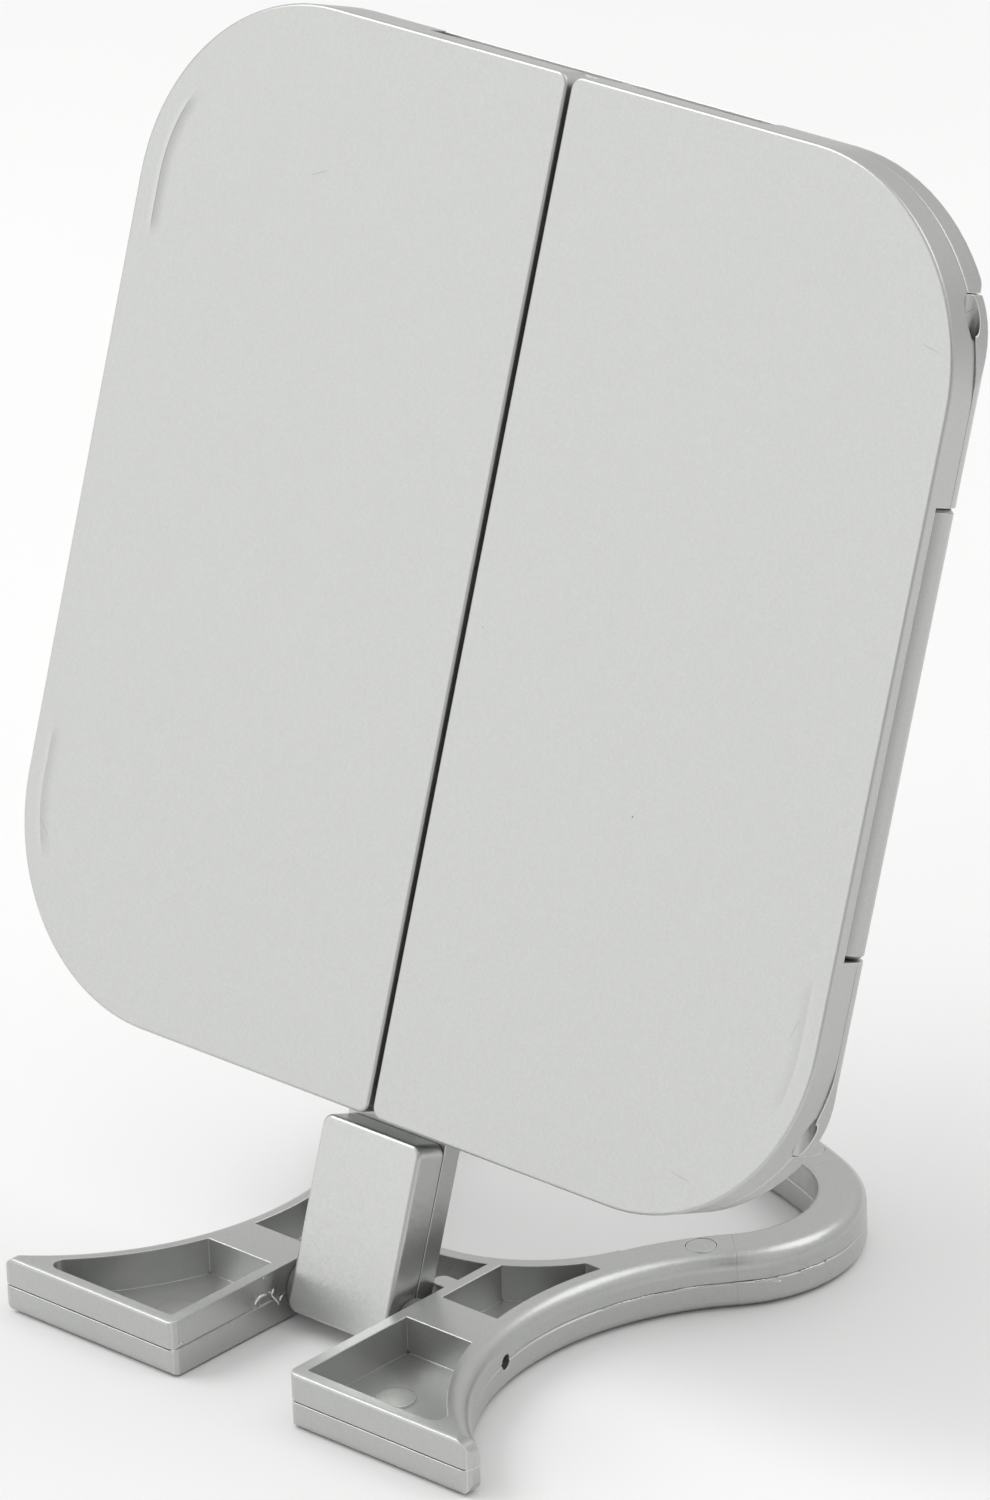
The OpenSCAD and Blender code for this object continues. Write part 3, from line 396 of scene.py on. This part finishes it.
def addCrumb(build, centre, size, chance):
    shape = Matrix.Translation(centre) @ Matrix.Diagonal((size * 0.7, size * 1.2, size * 0.9, 1))
    made = bmesh.ops.create_icosphere(build, subdivisions=1, radius=1.0, matrix=shape)
    for corner in made["verts"]:
        corner.co = centre + (corner.co - centre) * chance.uniform(0.7, 1.3)


def finishFlash(name, build):
    bmesh.ops.recalc_face_normals(build, faces=build.faces[:])
    for face in build.faces:
        face.smooth = True
    mesh = bpy.data.meshes.new(name)
    build.to_mesh(mesh)
    build.free()
    piece = bpy.data.objects.new(name, mesh)
    bpy.context.scene.collection.objects.link(piece)
    smooth = piece.modifiers.new("smooth", "SUBSURF")
    smooth.levels = smooth.render_levels = 1
    # painted highlight: the flash takes the paler paint
    mesh.materials.append(silver["standFlashHighlight"])
    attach(piece, "stand")
    return piece


# all in millimetres; the curls lie on the left foot's wall beside the neck, as (y, z)
slotFlash = {
    "wall": -13.27,
    "thick": 0.36,
    "curls": (
        ((-42.6, 5.95), (-42.25, 6.4), (-41.8, 6.8), (-41.2, 7.0), (-40.6, 6.98), (-40.0, 6.85), (-39.4, 6.8)),
        ((-37.7, 7.15), (-38.1, 6.8), (-38.4, 6.4), (-38.2, 5.9), (-37.8, 5.4), (-37.4, 4.9), (-37.05, 4.4),
         (-36.8, 4.0)),
        ((-36.7, 4.3), (-36.3, 4.75), (-35.9, 5.05), (-35.4, 5.3)),
    ),
    "crumbs": ((-42.9, 5.6, 0.2), (-41.3, 5.5, 0.16), (-38.9, 6.9, 0.24), (-39.3, 5.7, 0.13), (-40.1, 10.05, 0.3),
               (-36.75, 3.85, 0.25), (-35.2, 5.5, 0.14), (-60.8, 6.0, 0.24), (-60.3, 6.15, 0.3), (-59.7, 6.05, 0.2)),
}


def makeSlotFlash():
    chance, build = random.Random(11), bmesh.new()
    for curl in slotFlash["curls"]:
        pullRidge(build, [Vector((slotFlash["wall"], y, z)) / 1000 for y, z in curl], slotFlash["thick"] / 1000, chance)
    for y, z, size in slotFlash["crumbs"]:
        addCrumb(build, Vector((slotFlash["wall"], y, z)) / 1000, size / 1000, chance)
    return finishFlash("slot_flash", build)


# broken line along the right side's parting line: arc's centre, radius, then (from, to) angles of each length
ringFlash = {
    "height": 5.25,
    "thick": 0.20,
    "waist": ((80.2, -18.065), 49.3, ((166, 152), (150.5, 143), (139, 134), (131, 129))),
    "bend": ((25.3, 32.0), 25.0, ((-38, -31), (-27, -24), (-17, -8), (-4, -1))),
}


def makeRingFlash():
    chance, build = random.Random(5), bmesh.new()
    for centre, radius, runs in (ringFlash["waist"], ringFlash["bend"]):
        for first, last in runs:
            steps = max(3, int(abs(last - first) * math.radians(1) * radius / 0.9))
            points = []
            for i in range(steps + 1):
                angle = math.radians(first + (last - first) * i / steps)
                points.append(Vector((centre[0] + radius * math.cos(angle), centre[1] + radius * math.sin(angle),
                                      ringFlash["height"] + chance.uniform(-0.04, 0.04))) / 1000)
            pullRidge(build, points, ringFlash["thick"] / 1000, chance)
    return finishFlash("ring_flash", build)


flashPieces = [makeSlotFlash(), makeRingFlash()]
print("flash pieces:", len(flashPieces))


# ---- floor, light and camera ----

stage = {"floorSize": 7.0, "floorGrey": 0.93}


def layFloor():
    half = stage["floorSize"] / 2
    mesh = bpy.data.meshes.new("floor")
    mesh.from_pydata([(-half, -half, 0), (half, -half, 0), (half, half, 0), (-half, half, 0)], [], [(0, 1, 2, 3)])
    floor = bpy.data.objects.new("floor", mesh)
    bpy.context.scene.collection.objects.link(floor)
    made, tree, shader = newMaterial("paleFloor", {"Roughness": 0.7, "Specular IOR Level": 0.2})
    tone = rangeNode(tree, noiseNode(tree, objectCoordinates(tree), 6.0, 2.0), 0.3, 0.7, 0, 1)
    low, high = stage["floorGrey"] - 0.01, stage["floorGrey"] + 0.01
    tree.links.new(mixColour(tree, tone, grey(low), grey(high)), shader.inputs["Base Color"])
    mesh.materials.append(made)


lamps = {
    # name: (azimuth, elevation, distance, width, height, watts)
    "frontSoftbox": (-40, 9, 1.5, 1.5, 1.0, 2.9),
    "leftSoftbox": (-58, 46, 1.5, 0.8, 0.8, 6.0),
    "overheadSoftbox": (140, 52, 1.5, 0.9, 0.9, 3.5),
}
aimPoint = Vector((0, -0.01, 0.1))


def hangLamps():
    for name, (azimuth, elevation, distance, width, height, watts) in lamps.items():
        a, e = math.radians(azimuth), math.radians(elevation)
        away = Vector((math.sin(a) * math.cos(e), -math.cos(a) * math.cos(e), math.sin(e)))
        data = bpy.data.lights.new(name, "AREA")
        data.shape, data.size, data.size_y, data.energy = "RECTANGLE", width, height, watts
        lamp = bpy.data.objects.new(name, data)
        lamp.location = aimPoint + away * distance
        lamp.rotation_mode = "QUATERNION"
        lamp.rotation_quaternion = (-away).to_track_quat("-Z", "Y")
        bpy.context.scene.collection.objects.link(lamp)


shot = {"azimuth": 43.140, "elevation": 24.253, "roll": -2.099, "distance": 1.5340,
        "aside": -0.023996, "above": 0.012465, "lens": 226.11, "target": Vector((0, -0.02725, 0.12))}


def directionOf(azimuth, elevation):
    a, e = math.radians(azimuth), math.radians(elevation)
    return Vector((math.sin(a) * math.cos(e), -math.cos(a) * math.cos(e), math.sin(e)))


tent = {"bright": 0.80, "low": 0.62, "opening": 0.12, "openingEdge": 0.955, "openingCore": 0.985}


def makeWorld():
    # a white light tent, a little darker near the table, with one dark opening on the shooting side
    world = bpy.data.worlds.new("studio")
    world.use_nodes = True
    tree = world.node_tree
    way = addNode(tree, "TexCoord").outputs["Generated"]
    up = addNode(tree, "SeparateXYZ", Vector=way).outputs["Z"]
    wall = rangeNode(tree, up, 0.0, 0.5, tent["low"], tent["bright"], True)
    towards = vectorMath(tree, "DOT_PRODUCT", way, tuple(directionOf(shot["azimuth"], shot["elevation"])))
    hole = rangeNode(tree, towards, tent["openingEdge"], tent["openingCore"], 0, 1, True)
    strength = mathNode(tree, "ADD", mathNode(tree, "MULTIPLY", wall, mathNode(tree, "SUBTRACT", 1.0, hole)),
                        mathNode(tree, "MULTIPLY", hole, tent["opening"]))
    back = tree.nodes["Background"]
    back.inputs["Color"].default_value = (1.0, 1.0, 0.995, 1)
    tree.links.new(strength, back.inputs["Strength"])
    bpy.context.scene.world = world


def placeCamera():
    a, e, r = (math.radians(shot[key]) for key in ("azimuth", "elevation", "roll"))
    back = Vector((math.sin(a) * math.cos(e), -math.cos(a) * math.cos(e), math.sin(e)))
    right = Vector((math.cos(a), math.sin(a), 0))
    up = back.cross(right)
    right, up = right * math.cos(r) + up * math.sin(r), up * math.cos(r) - right * math.sin(r)
    data = bpy.data.cameras.new("camera")
    data.lens, data.sensor_width = shot["lens"], 36.0
    data.clip_start, data.clip_end = 0.05, 50.0
    camera = bpy.data.objects.new("camera", data)
    camera.location = shot["target"] - right * shot["aside"] - up * shot["above"] + back * shot["distance"]
    camera.rotation_mode = "QUATERNION"
    camera.rotation_quaternion = Matrix((right, up, back)).transposed().to_quaternion()
    bpy.context.scene.collection.objects.link(camera)
    bpy.context.scene.camera = camera


layFloor()
hangLamps()
makeWorld()
placeCamera()
bpy.context.scene.view_settings.view_transform = "Standard"
print("stage, lamps and camera set")
